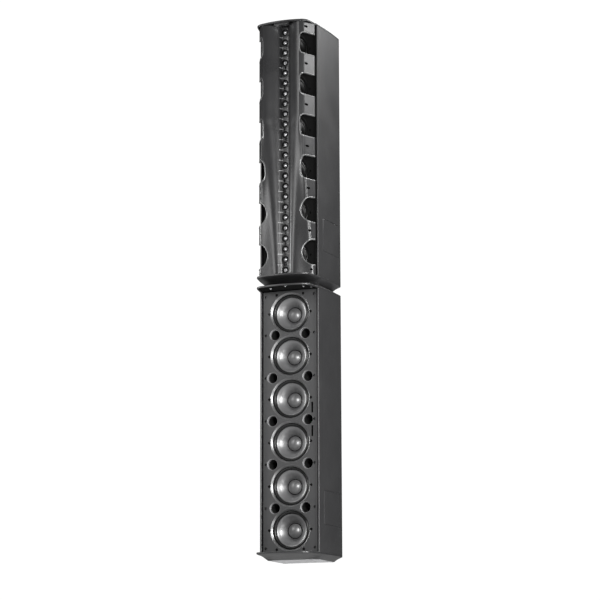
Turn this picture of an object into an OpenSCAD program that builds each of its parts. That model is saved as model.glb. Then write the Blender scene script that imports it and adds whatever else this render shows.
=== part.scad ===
// Column PA system: two column loudspeaker cabinets, one standing on the other, grilles off.
// Millimetres, +Z up, front towards -Y. The origin is the centre of the box's bottom face.

/* [Cabinet] */
// Height of one cabinet between the edges of its two cap lips
cab_h = 997; // [980:1:1050]
// Height of the bevelled pan on each end of a cabinet
pan_h = 17.5; // [12:0.5:24]
// Overall depth of a cap, from bowed front to back
depth = 306; // [300:1:320]
// How far the caps' bowed front stands ahead of the baffle
bow_depth = 101; // [98:1:106]
// Largest half-width of a cabinet
half_w = 133.5; // [130:0.5:140]
// Thickness of the side and back panels
wall = 6; // [4:0.5:8]
// Height of the cap lip
lip_h = 6; // [4:0.5:8]

/* [Woofers] */
// Number of woofers in a cabinet
woofer_n = 6; // [4:1:6]
// Distance between woofer centres
woofer_pitch = 163; // [162.5:0.5:165]
// Radius of the aperture's rim at the front of the baffle
rim_r = 77.8; // [76:0.1:79]
// Radius of the aperture at the back of the baffle
throat_r = 72; // [70:0.5:74]
// Baffle thickness
baffle_t = 12; // [10:0.5:15]
// Radius of the cone's outer edge
cone_r = 62.2; // [60:0.1:63]
// Travel of the cones each way
cone_travel = 4; // [2:0.5:5]

/* [Ports] */
// Port bore radius
port_r = 19; // [17:0.5:19]
// Port tube length behind the baffle
port_l = 70; // [40:1:100]

/* [Tweeters] */
// Number of tweeters in the upper cabinet
tweeter_n = 24; // [20:1:24]
// Dome radius of a tweeter
dome_r = 6.35; // [5:0.05:7]
// Half-width of the slot that the tweeters fire through
slot_x = 14; // [13.5:0.5:16]

/* [Fasteners] */
// Radius of the woofer screws' shanks
screw_r = 1.9; // [1.5:0.1:2.2]
// Radius of the studs that join the cabinets, and of the end bolts
stud_r = 3; // [2.5:0.5:4]

/* [Hidden] */
$fn = 48;
clearance = 0.1;

// Each cabinet is drawn with Y = 0 on the baffle's front face and Z = 0 on its lower lip.
baffle_y = bow_depth - depth / 2;
back_y = depth - bow_depth;
cab_z = [pan_h, 3 * pan_h + cab_h];
mid_z = cab_h / 2;
woofer_z = [for (i = [0:woofer_n - 1]) mid_z + woofer_pitch * (i - (woofer_n - 1) / 2)];
row_z = [for (i = [0:woofer_n - 2]) woofer_z[i] + woofer_pitch / 2];

// Plan outline of a cabinet: a bowed front, two gently bowed sides and a flat back, all
// arcs that meet in rounded corners. An inset moves the whole outline inwards.
bow_r = 300;
side_r = 1150;
side_y = 180;
nose_r = 34;
heel_r = 18;
bow_c = [0, bow_r - bow_depth];
side_c = [half_w - side_r, side_y];
side_gap = bow_c - side_c;
side_d = norm(side_gap);
nose_a = ((side_r - nose_r) ^ 2 - (bow_r - nose_r) ^ 2 + side_d ^ 2) / (2 * side_d);
nose_h = sqrt((side_r - nose_r) ^ 2 - nose_a ^ 2);
nose_u = side_gap / side_d;
nose_c = side_c + nose_a * nose_u + nose_h * [nose_u[1], -nose_u[0]];
heel_y = back_y - heel_r;
heel_c = [side_c[0] + sqrt((side_r - heel_r) ^ 2 - (heel_y - side_y) ^ 2), heel_y];
bow_end = atan2(nose_c[1] - bow_c[1], nose_c[0] - bow_c[0]);
side_start = atan2(nose_c[1] - side_c[1], nose_c[0] - side_c[0]);
side_end = atan2(heel_c[1] - side_c[1], heel_c[0] - side_c[0]);

function arc(c, r, a, b, n) = [
    for (k = [0:n]) c + r * [cos(a + (b - a) * k / n), sin(a + (b - a) * k / n)]
];
function half_outline(inset) = concat(
    arc(bow_c, bow_r - inset, -90, bow_end, 6),
    arc(nose_c, nose_r - inset, bow_end, side_start, 5),
    arc(side_c, side_r - inset, side_start, side_end, 8),
    arc(heel_c, heel_r - inset, side_end, 90, 4)
);
function mirrored(points) = [
    for (k = [len(points) - 1:-1:0]) if (points[k][0] > 0.01) [-points[k][0], points[k][1]]
];
function outline(inset) = concat(half_outline(inset), mirrored(half_outline(inset)));

module place(i) {
    translate([0, baffle_y, cab_z[i]]) children();
}

// Turns a profile of [radius, distance behind the baffle] about the line X = x, Z = z
module turned(x, z, profile) {
    translate([x, 0, z]) rotate([-90, 0, 0]) rotate_extrude() polygon(profile);
}

// A round rod along Y from y0 to y1
module rod(x, z, r, y0, y1) {
    translate([x, y0, z]) rotate([-90, 0, 0]) cylinder(r = r, h = y1 - y0);
}

/* Shell */
panel_x = 105;
wall_front = -7;
cover_z = [110, 234];
cover_y = [30, 168];
cover_t = 2;
cover_gap = 0.4;

module shell_ring(outer, inner, z0, z1) {
    translate([0, 0, z0]) linear_extrude(z1 - z0) difference() {
        polygon(outline(outer));
        polygon(outline(inner));
    }
}

// The region of a side that its cover fills, grown by a gap
module cover_zone(gap) {
    translate([half_w / 2, cover_y[0] - gap, cover_z[0] - gap])
        cube([half_w, cover_y[1] - cover_y[0] + 2 * gap, cover_z[1] - cover_z[0] + 2 * gap]);
}

module side_panel() {
    difference() {
        intersection() {
            shell_ring(0, wall, lip_h, cab_h - lip_h);
            translate([panel_x, wall_front, 0]) cube([half_w, depth, cab_h]);
        }
        intersection() {
            shell_ring(-1, cover_t + 0.1, 0, cab_h);
            cover_zone(cover_gap);
        }
    }
}

module side_cover() {
    intersection() {
        shell_ring(0, cover_t, 0, cab_h);
        cover_zone(0);
    }
}

// Input plate: a tray let into the back panel
tray_w = 120;
tray_h = 170;
tray_z = 320;
tray_depth = 26;
tray_t = 3;
insert_x = 35;
insert_z = [640, 760];
insert_or = 6;
insert_ir = 2.5;

module back_panel() {
    difference() {
        translate([-panel_x, back_y - wall, lip_h])
            cube([2 * panel_x, wall, cab_h - 2 * lip_h]);
        translate([-tray_w / 2, back_y - 2 * wall, tray_z - tray_h / 2])
            cube([tray_w, 4 * wall, tray_h]);
        for (x = [-insert_x, insert_x], z = insert_z) rod(x, z, insert_or, back_y - 30, back_y + 1);
    }
}

// Threaded bushes in the back panel for a wall bracket
module wall_inserts() {
    for (x = [-insert_x, insert_x], z = insert_z) difference() {
        union() {
            rod(x, z, insert_or, back_y - wall - 4, back_y);
            rod(x, z, insert_or + 3, back_y - wall - 4, back_y - wall);
        }
        rod(x, z, insert_ir, back_y - wall - 5, back_y + 1);
    }
}

module input_plate() {
    difference() {
        union() {
            translate([-tray_w / 2 + clearance, back_y - tray_depth, tray_z - tray_h / 2 + clearance])
                cube([tray_w - 2 * clearance, tray_depth, tray_h - 2 * clearance]);
            translate([-tray_w / 2 - 6, back_y - wall - 3, tray_z - tray_h / 2 - 6])
                cube([tray_w + 12, 3, tray_h + 12]);
        }
        translate([-tray_w / 2 + tray_t, back_y - tray_depth + tray_t, tray_z - tray_h / 2 + tray_t])
            cube([tray_w - 2 * tray_t, tray_depth, tray_h - 2 * tray_t]);
        rod(knob_x, knob_z, knob_shaft_r + 0.05, back_y - tray_depth - 1, back_y);
        translate([switch_x - 6.5, back_y - tray_depth - 1, switch_z - 2.4]) cube([13, 6, 4.8]);
    }
}

// Terminal block with four screw ways, in the lower part of the tray
block_w = 44;
block_h = 22;
block_y = back_y - tray_depth + tray_t;
block_z = tray_z - 48;
block_d = 14;
way_r = 3;

module terminal_block() {
    difference() {
        translate([-block_w / 2, block_y, block_z - block_h / 2]) cube([block_w, block_d, block_h]);
        for (k = [-1.5:1:1.5]) rod(k * 10, block_z + 4, way_r, block_y + 4, block_y + block_d + 1);
    }
    for (k = [-1.5:1:1.5]) rod(k * 10, block_z + 4, way_r - 0.3, block_y + 5, block_y + 9);
}

// Power tap knob on its shaft
knob_x = -28;
knob_z = tray_z + 36;
knob_shaft_r = 3;
knob_r = 12;
knob_floor = back_y - tray_depth + tray_t;

module tap_knob() {
    rod(knob_x, knob_z, knob_shaft_r, knob_floor - 10, knob_floor + 6);
    difference() {
        union() {
            rod(knob_x, knob_z, knob_r, knob_floor + 1, knob_floor + 9);
            translate([knob_x - 2.5, knob_floor + 1, knob_z]) cube([5, 14, knob_r - 1]);
        }
        for (a = [20:20:340]) translate([knob_x + knob_r * sin(a), knob_floor, knob_z + knob_r * cos(a)])
            rotate([-90, 0, 0]) cylinder(r = 1, h = 12, $fn = 16);
    }
}

// Slide switch: a button on a stem in the tray's slot
switch_x = 28;
switch_z = tray_z + 36;
switch_travel = 3;

module slide_switch() {
    translate([switch_x - 3, knob_floor - 8, switch_z - 2]) cube([6, 14, 4]);
    translate([switch_x - 4.5, knob_floor + 0.6, switch_z - 4]) cube([9, 5, 8]);
}

/* Caps: a lip slab and a bevelled pan, with a recess for the light end plate */
plate_t = 2;
plate_x = 99;
plate_front = 22;
plate_back = 192;
plate_corner = 16;

function plate_outline(inset) = let (x = plate_x - inset, c = plate_corner) [
    [-x + c, plate_front + inset], [x - c, plate_front + inset], [x, plate_front + inset + c],
    [x + 2, plate_back - inset - c], [x - c, plate_back - inset],
    [-x + c, plate_back - inset], [-x - 2, plate_back - inset - c], [-x, plate_front + inset + c]
];
pocket_h = 10;
// Shallow channel behind the front edge of the lip
channel_h = 4.5;
channel_inset = 4.6;
// Bolt holes in a free end, and the stud holes of an end that meets the other cabinet
bolt_places = [for (x = [-35, 35], y = [85, 175]) [x, y]];
stud_places = [for (x = [-60, 60], y = [60, 150]) [x, y]];
stud_l = 26;

// A cap as it sits on the bottom: the lip reaches up to lip_h and the pan down to -pan_h
module cap(holes) {
    difference() {
        union() {
            linear_extrude(lip_h) polygon(outline(0));
            hull() {
                translate([0, 0, -0.5]) linear_extrude(0.5) polygon(outline(0));
                translate([0, 0, -pan_h]) linear_extrude(0.5) polygon(plate_outline(-2));
            }
        }
        translate([0, 0, -pan_h - 1]) linear_extrude(plate_t + 1) polygon(plate_outline(-0.2));
        translate([-80, 30, lip_h - pocket_h]) cube([160, 140, pocket_h + 1]);
        translate([0, 0, lip_h - channel_h]) linear_extrude(channel_h + 1) intersection() {
            polygon(outline(channel_inset));
            translate([-half_w, -depth]) square([2 * half_w, depth - 1.5]);
        }
        for (p = holes)
            translate([p[0], p[1], -pan_h]) cylinder(r = stud_r + clearance, h = pan_h + lip_h);
    }
}

module end_plate(holes) {
    difference() {
        translate([0, 0, -pan_h]) linear_extrude(plate_t) polygon(plate_outline(0));
        for (p = holes)
            translate([p[0], p[1], -pan_h - 1]) cylinder(r = stud_r + clearance, h = plate_t + 2);
        for (x = [-plate_screw_x, plate_screw_x], y = plate_screw_y)
            translate([x, y, -pan_h - 1]) cylinder(r = screw_r + clearance, h = plate_t + 2);
    }
}
plate_screw_x = 84;
plate_screw_y = [48, 172];

module plate_screw_set() {
    for (x = [-plate_screw_x, plate_screw_x], y = plate_screw_y)
        translate([x, y, -pan_h]) cylinder(r = screw_r, h = plate_t);
}

// Puts a child, upside down, on the top end of a cabinet
module top_end() {
    translate([0, 0, cab_h]) mirror([0, 0, 1]) children();
}

/* Baffle and its holes */
baffle_x = 107.5;
woofer_screw_x = 83.3;
head_r = 4.2;
head_t = 2.5;
sink = 5;
edge_screw_x = 97.5;
edge_sink = 7;
port_near = 61;
port_far = 71;
edge_end = 474;
edge_screw_z = concat([mid_z - edge_end], row_z, [mid_z + edge_end]);
end_screws = [[53.5, 71.3], [-53.5, 71.3]];
slot_w = 7;
slot_l = 40;
slot_pos = 89;
slot_off = 44;

function port_x(k) = (k == 0 || k == len(row_z) - 1) ? port_near : port_far;

module woofer_screw_places() {
    for (z = woofer_z, s = [-1, 1]) translate([s * woofer_screw_x, 0, z]) children();
    for (p = end_screws) {
        translate([p[0], 0, woofer_z[woofer_n - 1] + p[1]]) children();
        translate([p[0], 0, woofer_z[0] - p[1]]) children();
    }
}

module woofer_screws() {
    woofer_screw_places() {
        rod(0, 0, head_r, sink - head_t, sink);
        rod(0, 0, screw_r, sink, baffle_t + 4);
    }
}

module edge_screws() {
    for (z = edge_screw_z, s = [-1, 1]) {
        rod(s * edge_screw_x, z, head_r, edge_sink - head_t, edge_sink);
        rod(s * edge_screw_x, z, screw_r, edge_sink, baffle_t);
    }
}

module baffle_blank() {
    difference() {
        translate([-baffle_x, 0, lip_h]) cube([2 * baffle_x, baffle_t, cab_h - 2 * lip_h]);
        for (z = woofer_z) turned(0, z, [[0, -0.01], [rim_r, -0.01], [throat_r, baffle_t + 0.01],
            [0, baffle_t + 0.01]]);
        woofer_screw_places() {
            rod(0, 0, head_r + 0.3, -1, sink);
            rod(0, 0, screw_r + clearance, sink - 1, baffle_t + 1);
        }
    }
}

module lf_baffle_shape() {
    difference() {
        baffle_blank();
        for (z = edge_screw_z, s = [-1, 1]) {
            rod(s * edge_screw_x, z, head_r + 0.3, -1, edge_sink);
            rod(s * edge_screw_x, z, screw_r + clearance, edge_sink - 1, baffle_t + 1);
        }
        for (k = [0:len(row_z) - 1], s = [-1, 1])
            turned(s * port_x(k), row_z[k], [[0, -0.01], [port_r + 3.5, -0.01], [port_r + 1.2, 1.5],
                [port_r, 5], [port_r, baffle_t + 0.01], [0, baffle_t + 0.01]]);
        for (s = [-1, 1]) translate([slot_pos - slot_w / 2, -1, mid_z + s * slot_off - slot_l / 2])
            cube([slot_w, baffle_t + 2, slot_l]);
    }
}

module port_tubes() {
    for (k = [0:len(row_z) - 1], s = [-1, 1])
        turned(s * port_x(k), row_z[k], [[port_r, baffle_t], [port_r + 2, baffle_t],
            [port_r + 2, baffle_t + port_l], [port_r, baffle_t + port_l]]);
}

/* Woofer parts, all turned about the woofer's axis */
flange_r = 80.4;
window_y = [26, 60];
window_w = 32;
flange_y = baffle_t;
flange_t = 4;
seat_r = 76.2;
seat_y = 16.3;
plate_y = 72;
magnet_r = 45;
magnet_y = 76;
magnet_end = 100;
coil_r = 14;
pole_r = 13;
gap_r = 14.7;

module basket(z) {
    difference() {
        union() {
            turned(0, z, [[seat_r, flange_y], [flange_r, flange_y], [flange_r, seat_y + 1.5],
                [seat_r, seat_y + 1.5], [48, plate_y], [36, plate_y], [36, plate_y - 2.5],
                [46, plate_y - 2.5], [seat_r - 4, seat_y + 2.3], [seat_r - 4, seat_y], [seat_r, seat_y]]);
            for (s = [-1, 1]) difference() {
                rod(s * woofer_screw_x, z, 8, flange_y, flange_y + flange_t);
                turned(0, z, [[0, flange_y - 1], [flange_r - 0.5, flange_y - 1],
                    [flange_r - 0.5, flange_y + 6], [0, flange_y + 6]]);
            }
        }
        for (a = [0:60:120]) translate([0, 0, z]) rotate([0, a, 0])
            translate([-flange_r - 10, window_y[0], -window_w / 2])
                cube([2 * flange_r + 20, window_y[1] - window_y[0], window_w]);
        for (s = [-1, 1]) rod(s * woofer_screw_x, z, screw_r + clearance, flange_y - 1, flange_y + 6);
    }
}

module magnet(z) {
    turned(0, z, [[gap_r, plate_y], [40, plate_y], [40, magnet_y], [magnet_r, magnet_y],
        [magnet_r, magnet_end - 5], [42, magnet_end], [0, magnet_end], [0, plate_y],
        [pole_r, plate_y], [pole_r, magnet_end - 6], [24, magnet_end - 6], [24, magnet_y],
        [gap_r, magnet_y]]);
}

spider_y = 65.5;
module spider(z) {
    turned(0, z, concat(
        [for (k = [0:8]) [coil_r + 0.4 + k * 3.4, spider_y + (k % 2) * 2.4]],
        [for (k = [8:-1:0]) [coil_r + 0.4 + k * 3.4, spider_y + 0.8 + (k % 2) * 2.4]]));
}

// Half-roll surround between the cone's edge and the basket's flange
roll_c = 67.4;
roll_r = 4.8;
module surround(z) {
    turned(0, z, concat(
        [for (a = [180:15:360]) [roll_c + roll_r * cos(a), 15 + 1.15 * roll_r * sin(a)]],
        [[throat_r + 4, 15], [throat_r + 4, 16.2], [roll_c + roll_r - 1, 16.2]],
        [for (a = [345:-15:195]) [roll_c + (roll_r - 1.2) * cos(a), 15 + 1.15 * (roll_r - 1.2) * sin(a)]],
        [[roll_c - roll_r + 1.2, 16.2], [roll_c - roll_r, 16.2]]));
}

cone_front = 15.4;
cap_r = 29;
neck_y = 57;
module cone(z) {
    turned(0, z, [[cone_r, cone_front], [cone_r - 3, cone_front + 0.4], [48, 26.5], [cap_r + 2, 46.4],
        [coil_r + 0.1, neck_y], [coil_r + 0.1, neck_y + 1.8], [cap_r + 2, 48.2], [49, 28.1],
        [cone_r - 3, cone_front + 2.2], [cone_r, cone_front + 1.8]]);
}

// Dome dust cap: a spherical shell whose rim sits on the cone
cap_rise = 11;
cap_ball = (cap_r ^ 2 + cap_rise ^ 2) / (2 * cap_rise);
cap_half = asin(cap_r / cap_ball);
dome_top = 36.2;
module dust_cap(z) {
    turned(0, z, concat(
        [for (a = [0:cap_half / 6:cap_half + 0.01])
            [cap_ball * sin(a), dome_top + cap_ball * (1 - cos(a))]],
        [for (a = [cap_half:-cap_half / 6:-0.01])
            [(cap_ball - 0.8) * sin(a), dome_top + 0.8 + (cap_ball - 0.8) * (1 - cos(a))]]));
}

coil_end = 86;
module voice_coil(z) {
    turned(0, z, [[coil_r - 0.5, neck_y - 2], [coil_r, neck_y - 2], [coil_r, coil_end - 12],
        [coil_r + 0.3, coil_end - 12], [coil_r + 0.3, coil_end], [coil_r - 0.5, coil_end]]);
}

/* Inside pieces */
board_y = 184;
board_t = 1.6;
board_z = [440, 550];
board_w = 120;
board_foot = 6;
coils = [[-35, 18, 462], [20, 14, 470], [-20, 10, 520]];

// Crossover board with three coils, each [x, radius, z], and a capacitor, on four feet
module crossover_board() {
    translate([-board_w / 2, board_y, board_z[0]]) cube([board_w, board_t, board_z[1] - board_z[0]]);
    for (p = coils) rod(p[0], p[2], p[1], board_y - 22, board_y);
    translate([15, board_y - 14, 505]) cube([36, 14, 16]);
    for (s = [-1, 1], z = [board_z[0] + board_foot, board_z[1] - board_foot])
        rod(s * (board_w / 2 - board_foot), z, 2.5, board_y + board_t, back_y - wall);
}

wadding_w = 190;
wadding_y = 140;
wadding_t = 25;
wadding_z = [[580, 960], [40, 220]];

module wadding() {
    for (z = wadding_z) translate([-wadding_w / 2, wadding_y, z[0]])
        cube([wadding_w, wadding_t, z[1] - z[0]]);
}

/* Waveguide: its section changes with height, narrow above and broad below */
guide_z0 = lip_h + 0.4;
guide_z1 = cab_h - lip_h - 0.4;
flare_top = 613;
slot_y = -45;
edge_pt = [114.5, -27];
edge_mid = [88, -80];
ridge_pt = [74, -88];
crease_low = [42, -57];
shell_t = 4;
sections_n = 14;

function flare(z) = max(0, (flare_top - z) / flare_top);
function along_side(s) = s < 0.22 ? ridge_pt + (edge_mid - ridge_pt) * s / 0.22
    : edge_mid + (edge_pt - edge_mid) * (s - 0.22) / 0.78;
function crease(z) = ridge_pt + (crease_low - ridge_pt) * flare(z) ^ 0.6;
function bezier(a, b, c, d, t) =
    (1 - t) ^ 3 * a + 3 * (1 - t) ^ 2 * t * b + 3 * (1 - t) * t ^ 2 * c + t ^ 3 * d;
// Front face of the right half, from the slot to the outer edge
function wing(z) = let (c = crease(z), s = 0.83 * flare(z), m = along_side(s)) concat(
    [for (k = [0:6]) bezier([slot_x, slot_y], [slot_x + 6, slot_y + 0.45 * (c[1] - slot_y)],
        [c[0] - 26, c[1] + 3], c, k / 6)],
    [for (k = [1:4]) bezier(c, c + 0.3 * (m - c) + [0, 4 * flare(z)], c + 0.7 * (m - c) + [0, 8 * flare(z)],
        m, k / 4) + [0.01 * k, 0]],
    [for (k = [1:4]) along_side(s + (1 - s) * k / 4) + [0.05 * k, 0]]);
// Closed section of the moulded shell, and of all the space behind its front face
function wing_section(z) = let (f = wing(z), n = len(f)) concat(f,
    [for (k = [n - 1:-1:1]) f[k] + [k < 5 ? 3 : 0, shell_t]],
    [[slot_x + 9, slot_y + shell_t], [slot_x, slot_y + shell_t]]);
function filled_section(z) = concat(wing(z), [[edge_pt[0] + 0.2, 0], [slot_x, 0]]);

module loft(levels, filled) {
    rings = [for (z = levels) filled ? filled_section(z) : wing_section(z)];
    n = len(rings[0]);
    m = len(levels);
    points = [for (i = [0:m - 1], p = rings[i]) [p[0], p[1], levels[i]]];
    sides = [for (i = [0:m - 2], k = [0:n - 1], half = [0, 1]) let (a = i * n + k, b = i * n + (k + 1) % n)
        half == 0 ? [a, b + n, b] : [a, a + n, b + n]];
    polyhedron(points, concat([[for (k = [0:n - 1]) k]], sides, [[for (k = [n - 1:-1:0]) (m - 1) * n + k]]));
}

boss_r = 6.5;
boss_floor = -20;
notch_x = 119;
notch_r = 48;
notch_front = -110;
// Openings above this height are squared off towards the middle
square_from = 363;
square_x = 77;
square_h = 68;
function boss_x(z) = 95 + 8 * flare(z);

// One half of the waveguide, with its six side openings and its screw bosses
module wing_half() {
    step = (flare_top - guide_z0) / sections_n;
    levels = concat([for (k = [0:sections_n]) guide_z0 + step * k], [guide_z1]);
    difference() {
        union() {
            loft(levels, false);
            intersection() {
                for (z = edge_screw_z) rod(boss_x(z), z, boss_r, ridge_pt[1], 0);
                loft(levels, true);
            }
        }
        for (z = woofer_z) {
            rod(notch_x, z, notch_r, notch_front, boss_floor);
            if (z > square_from) translate([square_x, notch_front, z - square_h / 2])
                cube([half_w - square_x, boss_floor - notch_front, square_h]);
        }
        for (z = edge_screw_z) {
            rod(boss_x(z), z, head_r + 0.3, notch_front, boss_floor);
            rod(boss_x(z), z, screw_r + clearance, boss_floor - 1, 1);
        }
    }
}

module waveguide() {
    wing_half();
    mirror([1, 0, 0]) wing_half();
    for (z = [guide_z0, guide_z1 - 4]) translate([-slot_x, slot_y, z]) cube([2 * slot_x, shell_t, 4]);
}

module waveguide_screws() {
    for (z = edge_screw_z, s = [-1, 1]) {
        rod(s * boss_x(z), z, head_r, boss_floor - head_t, boss_floor);
        rod(s * boss_x(z), z, screw_r, boss_floor, baffle_t - 2);
    }
}

module hf_baffle_shape() {
    difference() {
        baffle_blank();
        for (z = edge_screw_z, s = [-1, 1]) rod(s * boss_x(z), z, screw_r + clearance, -1, baffle_t - 2);
    }
}

/* Tweeters on their bar */
tweeter_pitch = woofer_pitch / 4;
tweeter_z = [for (i = [0:tweeter_n - 1]) mid_z + tweeter_pitch * (i - (tweeter_n - 1) / 2)];
bar_x = 22;
bar_t = 3;
bar_y = slot_y + shell_t;
ring_r = 12.6;
neck_r = 7.6;

module tweeter_bar() {
    difference() {
        translate([-bar_x, bar_y, guide_z0]) cube([2 * bar_x, bar_t, guide_z1 - guide_z0]);
        for (z = tweeter_z) rod(0, z, neck_r + 0.2, bar_y - 1, bar_y + bar_t + 1);
    }
}

module tweeter_rings() {
    for (z = tweeter_z) turned(0, z, [[neck_r, bar_y - 1], [neck_r + 1, bar_y - 2.6], [ring_r, bar_y - 3],
        [ring_r, bar_y], [neck_r, bar_y]]);
}

module tweeter_domes() {
    for (z = tweeter_z) turned(0, z, concat(
        [for (a = [0:15:90]) [dome_r * sin(a), bar_y - 0.5 - 4.4 * cos(a)]],
        [[dome_r + 1, bar_y - 0.5], [dome_r + 1, bar_y], [0, bar_y]]));
}

module tweeter_motors() {
    for (z = tweeter_z) turned(0, z, [[0, bar_y], [neck_r, bar_y], [neck_r, bar_y + bar_t],
        [12, bar_y + bar_t], [12, bar_y + 14], [11, bar_y + 15], [0, bar_y + 15]]);
}

block_front = -90;
block_size = [56, 21, 7];

// Cap with the small block that stands under it at the centre of the upper cabinet
module hf_top_cap_shape() {
    top_end() cap(bolt_places);
    translate([-block_size[0] / 2, block_front, cab_h - lip_h - block_size[2]])
        cube(block_size + [0, 0, channel_h + 0.2]);
}

/* Nodes */
dark = "#26272a";
panel_grey = "#4a4b4d";
light = "#b9bbbd";
metal = "#8a8c90";

module lf_side_left() { color(panel_grey) place(0) mirror([1, 0, 0]) side_panel(); }
module lf_side_right() { color(panel_grey) place(0) side_panel(); }
module lf_back_panel() { color(panel_grey) place(0) back_panel(); }
module lf_top_cap() { color(panel_grey) place(0) top_end() cap(stud_places); }
module lf_bottom_cap() { color(panel_grey) place(0) cap(bolt_places); }
module lf_end_plates() {
    color(light) place(0) {
        end_plate(bolt_places);
        top_end() end_plate(stud_places);
    }
}
module lf_baffle() { color(dark) place(0) lf_baffle_shape(); }
module lf_port_tubes() { color(dark) place(0) port_tubes(); }
module lf_baskets() { color(metal) place(0) for (z = woofer_z) basket(z); }
module lf_magnets() { color(metal) place(0) for (z = woofer_z) magnet(z); }
module lf_spiders() { color("tan") place(0) for (z = woofer_z) spider(z); }
module lf_surrounds() { color("#151515") place(0) for (z = woofer_z) surround(z); }
module lf_cones() { color("#3a3b3d") place(0) for (z = woofer_z) cone(z); }
module lf_dust_caps() { color("#48494b") place(0) for (z = woofer_z) dust_cap(z); }
module lf_voice_coils() { color("peru") place(0) for (z = woofer_z) voice_coil(z); }
module lf_woofer_screws() { color("black") place(0) woofer_screws(); }
module lf_baffle_screws() { color("dimgray") place(0) edge_screws(); }
module lf_crossover_board() { color("darkgreen") place(0) crossover_board(); }
module lf_wadding() { color("whitesmoke") place(0) wadding(); }
module lf_input_plate() { color(dark) place(0) input_plate(); }
module lf_terminal_block() { color("seagreen") place(0) terminal_block(); }
module lf_tap_knob() { color("black") place(0) tap_knob(); }
module lf_voicing_switch() { color("black") place(0) slide_switch(); }
module lf_side_covers() { color(panel_grey) place(0) { side_cover(); mirror([1, 0, 0]) side_cover(); } }
module lf_plate_screws() { color(metal) place(0) { plate_screw_set(); top_end() plate_screw_set(); } }
module lf_wall_inserts() { color("goldenrod") place(0) wall_inserts(); }

module hf_side_left() { color(panel_grey) place(1) mirror([1, 0, 0]) side_panel(); }
module hf_side_right() { color(panel_grey) place(1) side_panel(); }
module hf_back_panel() { color(panel_grey) place(1) back_panel(); }
module hf_top_cap() { color(panel_grey) place(1) hf_top_cap_shape(); }
module hf_bottom_cap() { color(panel_grey) place(1) cap(stud_places); }
module hf_end_plates() {
    color(light) place(1) {
        end_plate(stud_places);
        top_end() end_plate(bolt_places);
    }
}
module hf_baffle() { color(dark) place(1) hf_baffle_shape(); }
module hf_waveguide() { color("#3c3d3f") place(1) waveguide(); }
module hf_tweeter_bar() { color(dark) place(1) tweeter_bar(); }
module hf_tweeter_rings() { color("#101010") place(1) tweeter_rings(); }
module hf_tweeter_domes() { color("silver") place(1) tweeter_domes(); }
module hf_tweeter_motors() { color(metal) place(1) tweeter_motors(); }
module hf_baskets() { color(metal) place(1) for (z = woofer_z) basket(z); }
module hf_magnets() { color(metal) place(1) for (z = woofer_z) magnet(z); }
module hf_spiders() { color("tan") place(1) for (z = woofer_z) spider(z); }
module hf_surrounds() { color("#151515") place(1) for (z = woofer_z) surround(z); }
module hf_cones() { color("#3a3b3d") place(1) for (z = woofer_z) cone(z); }
module hf_dust_caps() { color("#48494b") place(1) for (z = woofer_z) dust_cap(z); }
module hf_voice_coils() { color("peru") place(1) for (z = woofer_z) voice_coil(z); }
module hf_woofer_screws() { color("black") place(1) woofer_screws(); }
module hf_waveguide_screws() { color("black") place(1) waveguide_screws(); }
module hf_crossover_board() { color("darkgreen") place(1) crossover_board(); }
module hf_wadding() { color("whitesmoke") place(1) wadding(); }
module hf_input_plate() { color(dark) place(1) input_plate(); }
module hf_terminal_block() { color("seagreen") place(1) terminal_block(); }
module hf_tap_knob() { color("black") place(1) tap_knob(); }
module hf_coverage_switch() { color("black") place(1) slide_switch(); }
module hf_side_covers() { color(panel_grey) place(1) { side_cover(); mirror([1, 0, 0]) side_cover(); } }
module hf_plate_screws() { color(metal) place(1) { plate_screw_set(); top_end() plate_screw_set(); } }
module hf_wall_inserts() { color("goldenrod") place(1) wall_inserts(); }

// Studs that join the two cabinets through the plates at the joint
module joining_studs() {
    color(metal) translate([0, baffle_y, cab_z[1] - pan_h]) for (p = stud_places)
        translate([p[0], p[1], -stud_l / 2]) cylinder(r = stud_r, h = stud_l);
}

lf_side_left();
lf_side_right();
lf_back_panel();
lf_top_cap();
lf_bottom_cap();
lf_end_plates();
lf_baffle();
lf_port_tubes();
lf_baskets();
lf_magnets();
lf_spiders();
lf_surrounds();
lf_cones();
lf_dust_caps();
lf_voice_coils();
lf_woofer_screws();
lf_baffle_screws();
lf_crossover_board();
lf_wadding();
lf_input_plate();
lf_terminal_block();
lf_tap_knob();
lf_voicing_switch();
lf_side_covers();
lf_plate_screws();
lf_wall_inserts();
hf_side_left();
hf_side_right();
hf_back_panel();
hf_top_cap();
hf_bottom_cap();
hf_end_plates();
hf_baffle();
hf_waveguide();
hf_tweeter_bar();
hf_tweeter_rings();
hf_tweeter_domes();
hf_tweeter_motors();
hf_baskets();
hf_magnets();
hf_spiders();
hf_surrounds();
hf_cones();
hf_dust_caps();
hf_voice_coils();
hf_woofer_screws();
hf_waveguide_screws();
hf_crossover_board();
hf_wadding();
hf_input_plate();
hf_terminal_block();
hf_tap_knob();
hf_coverage_switch();
hf_side_covers();
hf_plate_screws();
hf_wall_inserts();
joining_studs();
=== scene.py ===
"""Looks of a column PA system: two column loudspeaker cabinets, one standing on the other."""

import math

import bmesh
import bpy
from mathutils import Matrix, Vector


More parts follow.
